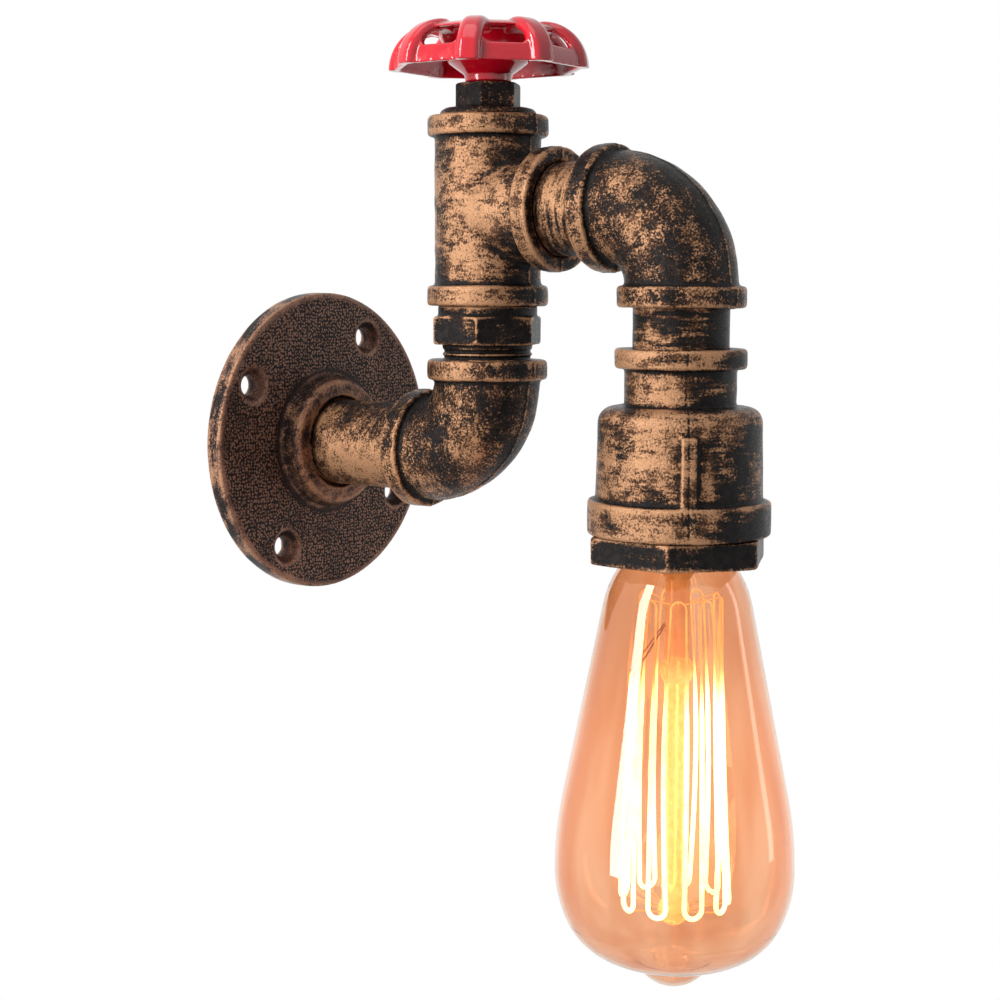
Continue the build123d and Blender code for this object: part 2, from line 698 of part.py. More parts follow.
def bulb_cap():
    """Screw cap: rolled thread above a plain skirt that grips the glass."""
    crest = cap_thread_diameter / 2
    skirt = cap_skirt_diameter / 2
    thread_low = cap_low_z + cap_skirt_length
    thread_high = thread_low + cap_thread_length
    inner = crest - cap_thread_depth - cap_metal
    top = contact_z - cap_contact_height - cap_insulator_height
    end = cap_insulator_low_diameter / 2
    outline = [(skirt - cap_metal, cap_low_z), (skirt, cap_low_z), (skirt, thread_low), (crest, thread_low)]
    outline += thread_outline(crest, cap_thread_depth, cap_thread_pitch, thread_low, thread_high)
    outline += [(crest, thread_high), (end, top), (end - cap_metal, top), (inner, thread_high),
                (inner, thread_low), (skirt - cap_metal, thread_low - cap_metal)]
    return Pos(0, drop_y, 0) * turned(outline)


def bulb_cap_insulator():
    low = contact_z - cap_contact_height - cap_insulator_height
    high = contact_z - cap_contact_height
    wide = cap_insulator_low_diameter / 2
    narrow = cap_contact_diameter / 2
    return Pos(0, drop_y, 0) * turned([(0, low), (wide, low), (narrow, high), (0, high)])


def bulb_cap_contact():
    button = rod(cap_contact_diameter, contact_z - cap_contact_height, contact_z)
    return Pos(0, drop_y, 0) * fillet(button.edges().group_by(Axis.Z)[-1], cap_contact_height / 2)


def bulb_mount():
    """Glass mount: flare sealed in the neck, long rod, bead and end button."""
    rod_radius = mount_rod_diameter / 2
    bead = mount_bead_diameter / 2
    button = mount_button_diameter / 2
    rim = glass_neck_radius - glass_wall - glass_in_skirt_gap
    flare_high = glass_neck_top_z
    flare_low = flare_high - mount_flare_rim
    bead_z = bulb_tip_z + mount_bead_height
    button_z = bulb_tip_z + mount_button_height
    body = turned([(0, flare_high), (rim, flare_high), (rim, flare_low),
                   (rod_radius, flare_low - mount_flare_height), (rod_radius, button_z), (0, button_z)])
    body += Pos(0, 0, bead_z) * Sphere(bead)
    body += Pos(0, 0, button_z) * Sphere(button)
    return Pos(0, drop_y, 0) * body


def strand_point(number, high):
    """Upper or lower end of the straight part of a filament strand."""
    strands = 2 * filament_loops
    angle = filament_gap_direction + 180 + (number - (strands - 1) / 2) * filament_strand_angle
    radius = filament_high_radius if high else filament_low_radius
    height = filament_high_height if high else filament_low_height
    return on_circle(radius, angle, bulb_tip_z + height)


def strand_end_point(number):
    """Where the first or last strand meets its lead wire."""
    low = strand_point(number, False)
    high = strand_point(number, True)
    share = (filament_end_height - filament_low_height) / (filament_high_height - filament_low_height)
    return low + (high - low) * share


def loop_top(start, end, along):
    """Far point of the loop that joins two strands, where its two arcs meet."""
    across = (end - start).normalized()
    step = (end - start).length / 2 / (1 + along.dot(across))
    return start + (along + across) * step


def filament_path():
    """Up and down the cage in one line: strands joined by loops of two arcs each."""
    strands = 2 * filament_loops
    place = strand_end_point(0)
    edges = []
    apexes = {"low": [], "high": []}
    for number in range(strands - 1):
        at_top = number % 2 == 1
        start = strand_point(number, at_top)
        end = strand_point(number + 1, at_top)
        edges.append(Line(place, start))
        along = (start - place).normalized()
        apex = loop_top(start, end, along)
        edges.append(TangentArc(start, apex, tangent=along))
        edges.append(TangentArc(apex, end, tangent=(end - start).normalized()))
        apexes["high" if at_top else "low"].append(apex)
        place = end
    edges.append(Line(place, strand_end_point(strands - 1)))
    return Wire(edges), apexes


def least_gap(path, diameter, apart):
    """Smallest clear distance between stretches of a path that are more than a given length apart."""
    steps = floor(path.length / (2 * diameter))
    points = [path @ (number / steps) for number in range(steps + 1)]
    skip = floor(apart / path.length * steps) + 1
    least = path.length
    for first in range(len(points)):
        for second in range(first + skip, len(points)):
            least = min(least, (points[first] - points[second]).length)
    return least - diameter


def hooks(apexes, mount_diameter, start_height):
    """Support wires from the glass mount out to the loops of the filament, ending just short of it."""
    wires = []
    for apex in apexes:
        angle = degrees(atan2(apex.Y, apex.X))
        reach = sqrt(apex.X ** 2 + apex.Y ** 2) - filament_diameter / 2 - hook_gap
        start = on_circle(mount_diameter / 2 + hook_diameter / 2, angle, bulb_tip_z + start_height)
        wires.append(Pos(0, drop_y, 0) * straight_wire(start, on_circle(reach, angle, apex.Z), hook_diameter))
    return Compound(children=wires)


def bulb_lead_wires():
    """Two wires from the mount to the ends of the filament."""
    wires = []
    for number in (0, 2 * filament_loops - 1):
        end = strand_end_point(number)
        angle = degrees(atan2(end.Y, end.X))
        start = on_circle((mount_rod_diameter + hook_diameter) / 2, angle, bulb_tip_z + lead_start_height)
        end += Vector(0, 0, hook_diameter)
        wires.append(Pos(0, drop_y, 0) * straight_wire(start, end, hook_diameter))
    return Compound(children=wires)


# ---------------------------------------------------------------- leads in the pipes
def inner_lead(side):
    """Insulated lead from the wall through the pipes to its terminal."""
    x = side * lead_spacing / 2
    spread_z = terminal_top_z + lead_spread_above
    points = [(x, 0, 0), (x, riser_y, 0), (x, riser_y, tee_z), (x, drop_y, tee_z), (x, drop_y, spread_z),
              (side * terminal_offset, drop_y, spread_z - lead_spread_length),
              (side * terminal_offset, drop_y, terminal_top_z)]
    radii = [bend_radius, bend_radius, bend_radius, lead_spread_radius, lead_spread_radius]
    path = FilletPolyline(*points, radius=radii)
    lead = tube_on(path, lead_diameter)
    expected = path.length * pi * lead_diameter ** 2 / 4
    print(f"lead length {path.length:.1f} mm, volume {lead.volume:.1f} of {expected:.1f} mm3")
    return lead


# ---------------------------------------------------------------- build
def build():
    out_along_wall_pipe = Rot(90, 0, 0)
    wall_pipe_start = boss_height - thread_engagement
    branch_pipe_start = -riser_y + fitting_reach - thread_engagement

    save("wall_flange", wall_flange())
    save("wall_nipple", out_along_wall_pipe * Pos(0, 0, wall_pipe_start)
         * nipple(wall_pipe_shown + 2 * thread_engagement))
    save("lower_elbow", Pos(0, riser_y, 0) * elbow())
    save("riser_hex_nipple", hexagon_nipple())
    save("tee", Pos(0, riser_y, tee_z) * tee())
    save("branch_nipple", Pos(0, 0, tee_z) * out_along_wall_pipe * Pos(0, 0, branch_pipe_start)
         * nipple(branch_pipe_shown + 2 * thread_engagement))
    save("upper_elbow", Pos(0, drop_y, tee_z) * Rot(0, 180, 0) * elbow())
    save("drop_nipple", Pos(0, drop_y, bell_top_z - thread_engagement)
         * nipple(drop_pipe_shown + 2 * thread_engagement))
    save("reducing_socket", reducing_socket())
    save("hex_bushing", hex_bushing())

    save("valve_bonnet", bonnet())
    save("packing_ring", packing_ring())
    save("valve_stem", valve_stem())
    save("handwheel", handwheel())
    save("wheel_washer", wheel_washer())
    save("wheel_nut", wheel_nut())

    save("lampholder_body", lampholder_body())
    save("lampholder_shell", lampholder_shell())
    save("lampholder_contact", lampholder_contact())
    save("live_terminal", terminal(1))
    save("neutral_terminal", terminal(-1))
    save("terminal_screws", terminal_screws())

    save("bulb_glass", bulb_glass())
    save("bulb_cap", bulb_cap())
    save("bulb_cap_insulator", bulb_cap_insulator())
    save("bulb_cap_contact", bulb_cap_contact())
    save("bulb_mount", bulb_mount())

    path, apexes = filament_path()
    loop_length = pi * filament_low_radius * radians(filament_strand_angle)
    print(f"filament length {path.length:.0f} mm, least gap to itself "
          f"{least_gap(path, filament_diameter, loop_length):.2f} mm")
    save("bulb_filament", Pos(0, drop_y, 0) * tube_on(path, filament_diameter))
    save("bulb_upper_hooks", hooks(apexes["high"], mount_rod_diameter, filament_high_height))
    save("bulb_lower_hooks", hooks(apexes["low"], mount_button_diameter, mount_button_height))
    save("bulb_lead_wires", bulb_lead_wires())

    save("live_lead", inner_lead(1))
    save("neutral_lead", inner_lead(-1))


build()
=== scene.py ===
"""Finishes the pipe wall light: cast surfaces, rubbed paint, enamel, the lit bulb and a plain studio.

Metres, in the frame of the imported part: +Y goes into the wall, +Z is up, +X is right when facing the wall.
Values whose name or comment says mm are in millimetres, and angles are in degrees.
"""

import json
import math

import bmesh
import bpy
import numpy as np
from mathutils import Matrix, Vector

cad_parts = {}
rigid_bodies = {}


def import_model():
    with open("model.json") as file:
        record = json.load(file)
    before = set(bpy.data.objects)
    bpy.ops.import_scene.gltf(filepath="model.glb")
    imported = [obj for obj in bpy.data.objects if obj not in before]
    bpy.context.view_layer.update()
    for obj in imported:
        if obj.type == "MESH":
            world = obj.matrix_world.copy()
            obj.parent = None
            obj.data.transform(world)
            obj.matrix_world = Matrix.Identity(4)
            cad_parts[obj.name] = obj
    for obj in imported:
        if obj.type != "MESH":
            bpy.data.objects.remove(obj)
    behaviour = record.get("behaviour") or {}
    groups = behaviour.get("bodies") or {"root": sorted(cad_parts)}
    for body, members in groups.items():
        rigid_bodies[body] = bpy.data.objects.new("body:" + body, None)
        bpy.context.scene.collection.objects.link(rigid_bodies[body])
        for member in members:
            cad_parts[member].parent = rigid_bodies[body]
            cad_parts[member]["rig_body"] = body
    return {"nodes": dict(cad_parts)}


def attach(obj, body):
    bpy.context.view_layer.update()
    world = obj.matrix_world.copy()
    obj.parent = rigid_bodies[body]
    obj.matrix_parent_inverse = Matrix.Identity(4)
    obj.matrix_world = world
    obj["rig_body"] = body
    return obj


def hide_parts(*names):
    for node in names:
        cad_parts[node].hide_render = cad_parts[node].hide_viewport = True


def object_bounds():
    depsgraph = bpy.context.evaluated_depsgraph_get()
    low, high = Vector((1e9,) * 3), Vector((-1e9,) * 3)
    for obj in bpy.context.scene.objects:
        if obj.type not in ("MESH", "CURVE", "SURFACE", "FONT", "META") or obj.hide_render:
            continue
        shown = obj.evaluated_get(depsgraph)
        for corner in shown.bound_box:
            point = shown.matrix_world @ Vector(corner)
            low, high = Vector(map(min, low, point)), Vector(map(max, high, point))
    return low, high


MM = 0.001

# ---------------------------------------------------------------- features of the part that the looks follow
DROP_Y = -0.1405                    # axis of the bell and the bulb
FLANGE_FACE_Y = -0.006
FLANGE_RADIUS = 0.047
RIM_SKIN = 0.0004                   # depth of the flange's outer skin that takes the rim's finish
BOSS_FOOT_RADIUS = 0.0225
BOSS_FRONT_Y = -0.0068              # everything of the flange in front of this is its boss
SCREW_CIRCLE_RADIUS = 0.0375
SCREW_FIRST_ANGLE = 60.0
SCREW_COUNT = 4
COUNTERSINK_RADIUS = 0.0055
BELL_RIB_DIRECTION = -140.3
BELL_SEAM_FROM = 0.0145             # nearer to its axis than this the bell has no parting line
BULB_TIP_Z = -0.14848

# ---------------------------------------------------------------- cast skins
WIDE_LUMP = 0.009                   # sizes and shares of the two sets of lumps in a casting's skin
WIDE_SHARE = 0.6
NARROW_LUMP = 0.0035
NARROW_SHARE = 0.4
EDGE_ROUNDS = 14                    # rounds of smoothing of the surface that an edge is measured from
EDGE_FULL = 0.16                    # mm that a point stands out where its "edge" is 1
SEAM_HEIGHT = 0.22                  # mm; below 0 the parting line is a groove
BELL_SEAM_HEIGHT = -0.10            # mm
SEAM_HALF_WIDTH = 0.45              # mm
SEAM_FLAT_SHARE = 0.3               # of that half width
FACE_LUMP = 0.0016                  # lumps of the flange's face
FACE_LUMP_HEIGHT = 0.00010

# ---------------------------------------------------------------- paint and bronze
BLACK_PAINT = (0.008, 0.0065, 0.0062, 1)
BLACK_WORN = (0.021, 0.016, 0.015, 1)
BRONZE_LIGHT = (0.44, 0.232, 0.122, 1)
BRONZE_DEEP = (0.075, 0.035, 0.019, 1)
DULL_PAINT = (0.032, 0.018, 0.015, 1)
DULL_BRONZE = (0.30, 0.165, 0.115, 1)
DULL_DEEP = (0.12, 0.063, 0.046, 1)
BOSS_BRONZE = (0.34, 0.17, 0.095, 1)
RIM_BRONZE = (0.40, 0.21, 0.12, 1)
PAINTED_HIGHLIGHT_SIDE = (1.0, 0.0, 0.15)      # direction of the faces with the most bronze: rubbed bronze, with a painted highlight of more and lighter bronze where the light falls
PATCH_MM = 12
STROKE_MM = 1.4
SPECK_MM = 0.62
FINE_MM = 0.55
WORN_MM = 2.2                       # patches of worn paint
TONE_MM = 4                         # light and dark in the bronze
RUB_STEP = 0.12                     # the step from paint to bronze goes from this below 0 to this above 0
RUB_METALLIC = 0.45
PAINT_ROUGH = 0.28
BRONZE_ROUGH = 0.31
FINE_ROUGH = 0.22
SPECULAR = 0.09
AMOUNT_TONE = 1.1                   # weights of what makes the bronze light or dark
CLOUD_TONE = 1.3
FINE_TONE = 1.6
TONE_RANGE = (0.10, 1.15)           # from the deep colour to the light one
WORN_RANGE = (0.42, 0.66)           # from the black paint to the worn one
RUB_BUMP = 0.35                     # height of the bronze over the paint, as a share of the relief
RELIEF_MM = 0.14
PEBBLE_BRONZE = 1.5                 # more bronze on a pebble
PEBBLE_GAP_BRONZE = -0.66           # and less on the whole pebbled face
PEBBLE_RELIEF = 1.8
PEBBLE_RANDOM = 0.75
PEBBLE_TOP = 0.16                   # distance from a pebble's middle, in cells, where its slope begins
PEBBLE_FOOT = 0.52                  # and ends

# ---------------------------------------------------------------- enamel, glass and glow
# the enamel's colour in the hollows is painted shade
RED_SHADED_HOLLOW = (0.33, 0.001, 0.007, 1)
RED_TOP = (0.72, 0.003, 0.020, 1)
RED_CLOUD = (0.64, 0.003, 0.018, 1)
AMBER_PALE = (0.90, 0.63, 0.46, 1)
AMBER_STREAK = (0.82, 0.46, 0.27, 1)
# the colour towards the glass's outline is painted shade
AMBER_OUTLINE_SHADE = (0.74, 0.40, 0.23, 1)
# colour and strength of the glass's painted glow
AMBER_PAINTED_GLOW = (1.0, 0.36, 0.12, 1)
AMBER_PAINTED_GLOW_STRENGTH = 0.05
MOUNT_PALE = (1.0, 0.74, 0.46, 1)
MOUNT_DEEP = (0.95, 0.62, 0.34, 1)
# glow colour of the glass mount, a painted glow
MOUNT_PAINTED_GLOW = (1.0, 0.66, 0.26, 1)
MOUNT_STRENGTHS = (0.06, 0.62)      # strengths of the painted glow: above the bead, and between the strands
WIRE_COOL = (1.0, 0.50, 0.16, 1)
WIRE_HOT = (1.0, 0.72, 0.40, 1)
WIRE_STRENGTHS = (1.5, 6.5)         # cool and hot
WIRE_COLOUR = (0.25, 0.12, 0.05, 1)
HOOK_LIGHT = (0.42, 0.20, 0.10)
HOOK_DARK = (0.24, 0.11, 0.06)

# ---------------------------------------------------------------- filament, in millimetres
FILAMENT_STRANDS = 18
FILAMENT_STEP = 19.0                # degrees from strand to strand
FILAMENT_MIDDLE = 310.0             # direction of the middle of the cage
FILAMENT_LOW = (15.5, 26.5)         # radius, height above the bulb's tip
FILAMENT_HIGH = (12.5, 110.0)
FILAMENT_END_HEIGHT = 89.5
STRAND_STEPS = 14
LOOP_STEPS = 8
STRAND_BOW = 1.2                    # how far the strands bow to one side, as a mean
BOW_CHANGE = 1.0                    # and how much more or less
BOW_RHYTHM = 2.3                    # radians from strand to strand
BOW_TURN = 57                       # degrees from strand to strand
STRAND_THIN = 0.27                  # radius of a strand at its cool top
STRAND_THICK = 0.70                 # and where it glows most
STRAND_THINS_FROM = 78              # height above the bulb's tip
STRAND_THINS_OVER = 16
STRAND_SIDES = 8

# ---------------------------------------------------------------- heights between which a glow rises or ends: the painted glow of the glass and the mount, and the filament's own
GLASS_PAINTED_GLOW_RISES = (-0.145, -0.10)
GLASS_PAINTED_GLOW_ENDS = (-0.085, -0.035)
MOUNT_PAINTED_GLOW_ENDS = (-0.0600, -0.0530)
WIRE_GLOW_ENDS = (-0.070, -0.052)

# ---------------------------------------------------------------- camera, fitted to the photograph
CAMERA_PLACE = (-0.4479302, -0.4373152, 0.048938)
CAMERA_YAW = 51.1671
CAMERA_PITCH = -6.2617
CAMERA_ROLL = 0.1817
FOCAL_PIXELS = 1939.1984
IMAGE_PIXELS = 1000
SENSOR_MM = 36.0

# ---------------------------------------------------------------- studio
WHITE = (1, 1, 1, 1)
LAMP_DISTANCE = 1.0
FILL_STRENGTH = 0.12                # of the light from all round
FLOOR_Z = -0.75
FLOOR_HALF = 4.0
SHADOW_FROM = 0.3                   # the floor's shadow fades out between these distances from the middle
SHADOW_TO = 1.2
SHADOW_WHITE = 0.8                  # white share of the floor where its shadow is strongest

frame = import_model()
cad_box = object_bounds()
scene = bpy.context.scene
nodes = frame["nodes"]


# ---------------------------------------------------------------- arrays of points
def lattice_value(corner, seed):
    """Fixed pseudo-random number from 0 to 1 for each whole-number corner."""
    mixed = (corner[:, 0] * 73856093) ^ (corner[:, 1] * 19349663) ^ (corner[:, 2] * 83492791)
    mixed = (mixed ^ (seed * 2654435761)) & 0xFFFFFFFF
    mixed = ((mixed ^ (mixed >> 15)) * 1274126177) & 0xFFFFFFFF
    mixed = ((mixed ^ (mixed >> 13)) * 2246822519) & 0xFFFFFFFF
    return ((mixed ^ (mixed >> 16)) & 0xFFFF) / 0xFFFF


def lumps(points, size, seed):
    """Smooth noise from -1 to 1 whose features have the given size."""
    scaled = points / size
    base = np.floor(scaled).astype(np.int64)
    share = scaled - base
    share = share * share * (3 - 2 * share)
    total = np.zeros(len(points))
    for step in np.ndindex(2, 2, 2):
        weight = np.prod(np.where(step, share, 1 - share), axis=1)
        total += weight * lattice_value(base + np.array(step), seed)
    return 2 * total - 1


def ramp(value, low, high):
    """0 below low, 1 above high, and a smooth rise between."""
    share = np.clip((value - low) / (high - low), 0, 1)
    return share * share * (3 - 2 * share)


def points_of(mesh):
    points = np.empty(len(mesh.vertices) * 3)
    mesh.vertices.foreach_get("co", points)
    return points.reshape(-1, 3)


def normals_of(mesh):
    normals = np.empty(len(mesh.vertices) * 3, np.float32)
    mesh.vertex_normals.foreach_get("vector", normals)
    return normals.reshape(-1, 3).astype(float)


def edges_of(mesh):
    edges = np.empty(len(mesh.edges) * 2, np.int32)
    mesh.edges.foreach_get("vertices", edges)
    return edges.reshape(-1, 2)


def relaxed(points, edges, rounds, share=0.5):
    """Points moved by a share of the way to the mean of their neighbours, several times."""
    count = len(points)
    neighbours = np.maximum(np.bincount(edges.ravel(), minlength=count), 1)[:, None]
    first, second = edges[:, 0], edges[:, 1]
    for _ in range(rounds):
        total = np.column_stack([
            np.bincount(first, points[second, axis], count) + np.bincount(second, points[first, axis], count)
            for axis in range(3)])
        points = points + share * (total / neighbours - points)
    return points


def set_points(mesh, points):
    mesh.vertices.foreach_set("co", points.astype(np.float32).ravel())
    mesh.update()


def set_numbers(mesh, name, values):
    attribute = mesh.attributes.new(name, "FLOAT", "POINT")
    attribute.data.foreach_set("value", values.astype(np.float32))


# ---------------------------------------------------------------- cast copies of the part's nodes
def recast(node, voxel, rounding, uneven, relief=None):
    """A copy of a node in one even skin, with soft corners and a cast unevenness.

    voxel and uneven are in mm, and rounding is a number of rounds. relief(points, normals) gives further
    height in metres. The attribute "edge" says how far each point stands out from its surroundings: above 0
    on corners and bumps, below 0 in hollows.
    """
    mesh = nodes[node].data.copy()
    welded = bmesh.new()
    welded.from_mesh(mesh)
    bmesh.ops.remove_doubles(welded, verts=welded.verts, dist=1e-6)
    welded.to_mesh(mesh)
    welded.free()
    piece = bpy.data.objects.new(node + "_cast", mesh)
    scene.collection.objects.link(piece)
    remesh = piece.modifiers.new("skin", "REMESH")
    remesh.mode = "VOXEL"
    remesh.voxel_size = voxel * MM
    remesh.use_smooth_shade = True
    graph = bpy.context.evaluated_depsgraph_get()
    skin = bpy.data.meshes.new_from_object(piece.evaluated_get(graph))
    piece.modifiers.clear()
    piece.data = skin
    skin.materials.clear()
    edges = edges_of(skin)
    set_points(skin, relaxed(points_of(skin), edges, rounding))
    points, normals = points_of(skin), normals_of(skin)
    wide, narrow = lumps(points, WIDE_LUMP, 1), lumps(points, NARROW_LUMP, 2)
    height = uneven * MM * (WIDE_SHARE * wide + NARROW_SHARE * narrow)
    if relief:
        height = height + relief(points, normals)
    points = points + normals * height[:, None]
    set_points(skin, points)
    stands_out = ((points - relaxed(points, edges, EDGE_ROUNDS)) * normals_of(skin)).sum(axis=1)
    set_numbers(skin, "edge", np.clip(stands_out / (EDGE_FULL * MM), -1, 1))
    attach(piece, nodes[node]["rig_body"])
    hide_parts(node)
    return piece


def seam(points, across, height):
    """Height of a parting line where the mould halves met, in the plane through 0 and square to across."""
    distance = np.abs(points @ np.array(across))
    return height * MM * (1 - ramp(distance, SEAM_FLAT_SHARE * SEAM_HALF_WIDTH * MM, SEAM_HALF_WIDTH * MM))


def pebbled_share(points, normals):
    """1 on the flange's face between the boss and the rim, 0 elsewhere and round the screw holes."""
    radius = np.hypot(points[:, 0], points[:, 2])
    height = points[:, 1] - FLANGE_FACE_Y
    on_face = (normals[:, 1] < -0.8) & (height < 0.0006) & (height > -0.0008)
    boss_fade = (BOSS_FOOT_RADIUS, BOSS_FOOT_RADIUS + 0.0015)
    rim_fade = (FLANGE_RADIUS - 0.0026, FLANGE_RADIUS - 0.0014)
    hole_fade = (COUNTERSINK_RADIUS + 0.0003, COUNTERSINK_RADIUS + 0.0012)
    share = ramp(radius, *boss_fade)
    share *= 1 - ramp(radius, *rim_fade)
    for number in range(SCREW_COUNT):
        angle = math.radians(SCREW_FIRST_ANGLE + 360 / SCREW_COUNT * number)
        from_hole = np.hypot(points[:, 0] - SCREW_CIRCLE_RADIUS * math.cos(angle),
                             points[:, 2] - SCREW_CIRCLE_RADIUS * math.sin(angle))
        share *= ramp(from_hole, *hole_fade)
    return np.where(on_face, share, 0.0)


def flange_relief(points, normals):
    """Uneven height of the pebbled face; the single pebbles are in its finish."""
    return pebbled_share(points, normals) * lumps(points, FACE_LUMP, 5) * FACE_LUMP_HEIGHT


def in_plane_seam(points, normals):
    """Parting line of an elbow or the tee, in the plane of its pipes."""
    on_line = np.abs(normals[:, 0]) < 0.6
    return np.where(on_line, seam(points, (1, 0, 0), SEAM_HEIGHT), 0.0)


def bell_seam(points, normals):
    """Parting line of the bell, in the plane through its two ribs."""
    angle = math.radians(BELL_RIB_DIRECTION)
    across = (-math.sin(angle), math.cos(angle), 0)
    radius = np.hypot(points[:, 0], points[:, 1] - DROP_Y)
    line = seam(points - np.array((0, DROP_Y, 0)), across, BELL_SEAM_HEIGHT)
    return np.where(radius > BELL_SEAM_FROM, line, 0.0)


# ---------------------------------------------------------------- materials
class Finish:
    """A material whose node tree is built up by short calls."""

    def __init__(self, name):
        self.material = bpy.data.materials.new(name)
        self.material.use_nodes = True
        self.tree = self.material.node_tree
        self.surface = self.tree.nodes["Principled BSDF"]
        coordinates = self.add("ShaderNodeTexCoord")
        self.place = coordinates.outputs["Object"]
        self.outward = coordinates.outputs["Normal"]

    def add(self, kind, **settings):
        node = self.tree.nodes.new(kind)
        for name, value in settings.items():
            setattr(node, name, value)
        return node

    def feed(self, socket, value):
        """Links an output to a socket, or sets the socket to a number or colour."""
        if isinstance(value, bpy.types.NodeSocket):
            self.tree.links.new(value, socket)
        else:
            socket.default_value = value

    def turned(self, turn=(0, 0, 0), stretch=(1, 1, 1), shift=(0, 0, 0)):
        """The place on the piece, turned by degrees and stretched, for a pattern with a direction."""
        node = self.add("ShaderNodeMapping")
        node.inputs["Location"].default_value = shift
        node.inputs["Rotation"].default_value = [math.radians(angle) for angle in turn]
        node.inputs["Scale"].default_value = stretch
        self.feed(node.inputs["Vector"], self.place)
        return node.outputs["Vector"]

    def split(self, vector):
        """The parts X, Y and Z of a place or direction."""
        node = self.add("ShaderNodeSeparateXYZ")
        self.feed(node.inputs[0], vector)
        return node.outputs

    def noise(self, size_mm, detail=3.0, rough=0.55, place=None):
        node = self.add("ShaderNodeTexNoise")
        node.inputs["Scale"].default_value = 1 / (size_mm * MM)
        node.inputs["Detail"].default_value = detail
        node.inputs["Roughness"].default_value = rough
        self.feed(node.inputs["Vector"], place or self.place)
        return node.outputs["Fac"]

    def math(self, operation, first, second=0.0, third=0.0):
        node = self.add("ShaderNodeMath", operation=operation)
        for socket, value in zip(node.inputs, (first, second, third)):
            self.feed(socket, value)
        return node.outputs[0]

    def weighted(self, start, *terms):
        """start plus the sum of weight times (value doubled, less one)."""
        total = start
        for value, weight in terms:
            total = self.math("ADD", self.math("MULTIPLY_ADD", value, 2 * weight, -weight), total)
        return total

    def ramp(self, value, low, high, out_low=0.0, out_high=1.0):
        node = self.add("ShaderNodeMapRange", interpolation_type="SMOOTHSTEP")
        for socket, number in zip(node.inputs, (value, low, high, out_low, out_high)):
            self.feed(socket, number)
        return node.outputs["Result"]

    def mix(self, share, first, second):
        node = self.add("ShaderNodeMix", data_type="RGBA")
        self.feed(node.inputs["Factor"], share)
        colours = [socket for socket in node.inputs if socket.type == "RGBA"]
        self.feed(colours[0], first)
        self.feed(colours[1], second)
        return [socket for socket in node.outputs if socket.type == "RGBA"][0]

    def facing(self, direction):
        """1 where the surface looks in a direction or its mirror image across X = 0, and less elsewhere."""
        across, along, up = Vector(direction).normalized()
        parts = self.split(self.outward)
        total = self.math("MULTIPLY", self.math("ABSOLUTE", parts["X"]), across)
        total = self.math("MULTIPLY_ADD", parts["Y"], along, total)
        return self.math("MULTIPLY_ADD", parts["Z"], up, total)

    def pebbles(self, pitch_mm):
        """1 on the tops of close round bumps on a face square to Y, 0 between them."""
        node = self.add("ShaderNodeTexVoronoi", voronoi_dimensions="2D")
        node.inputs["Scale"].default_value = 1 / (pitch_mm * MM)
        node.inputs["Randomness"].default_value = PEBBLE_RANDOM
        self.feed(node.inputs["Vector"], self.turned(turn=(90, 0, 0)))
        return self.ramp(node.outputs["Distance"], PEBBLE_TOP, PEBBLE_FOOT, 1.0, 0.0)

    def attribute(self, name):
        node = self.add("ShaderNodeAttribute", attribute_name=name)
        return node.outputs["Fac"]

    def bump(self, height, depth_mm, strength=1.0):
        node = self.add("ShaderNodeBump")
        node.inputs["Strength"].default_value = strength
        node.inputs["Distance"].default_value = depth_mm * MM
        self.feed(node.inputs["Height"], height)
        self.feed(self.surface.inputs["Normal"], node.outputs["Normal"])

    def set(self, **values):
        """Feeds the surface's sockets, named with _ for each space."""
        for name, value in values.items():
            self.feed(self.surface.inputs[name.replace("_", " ")], value)


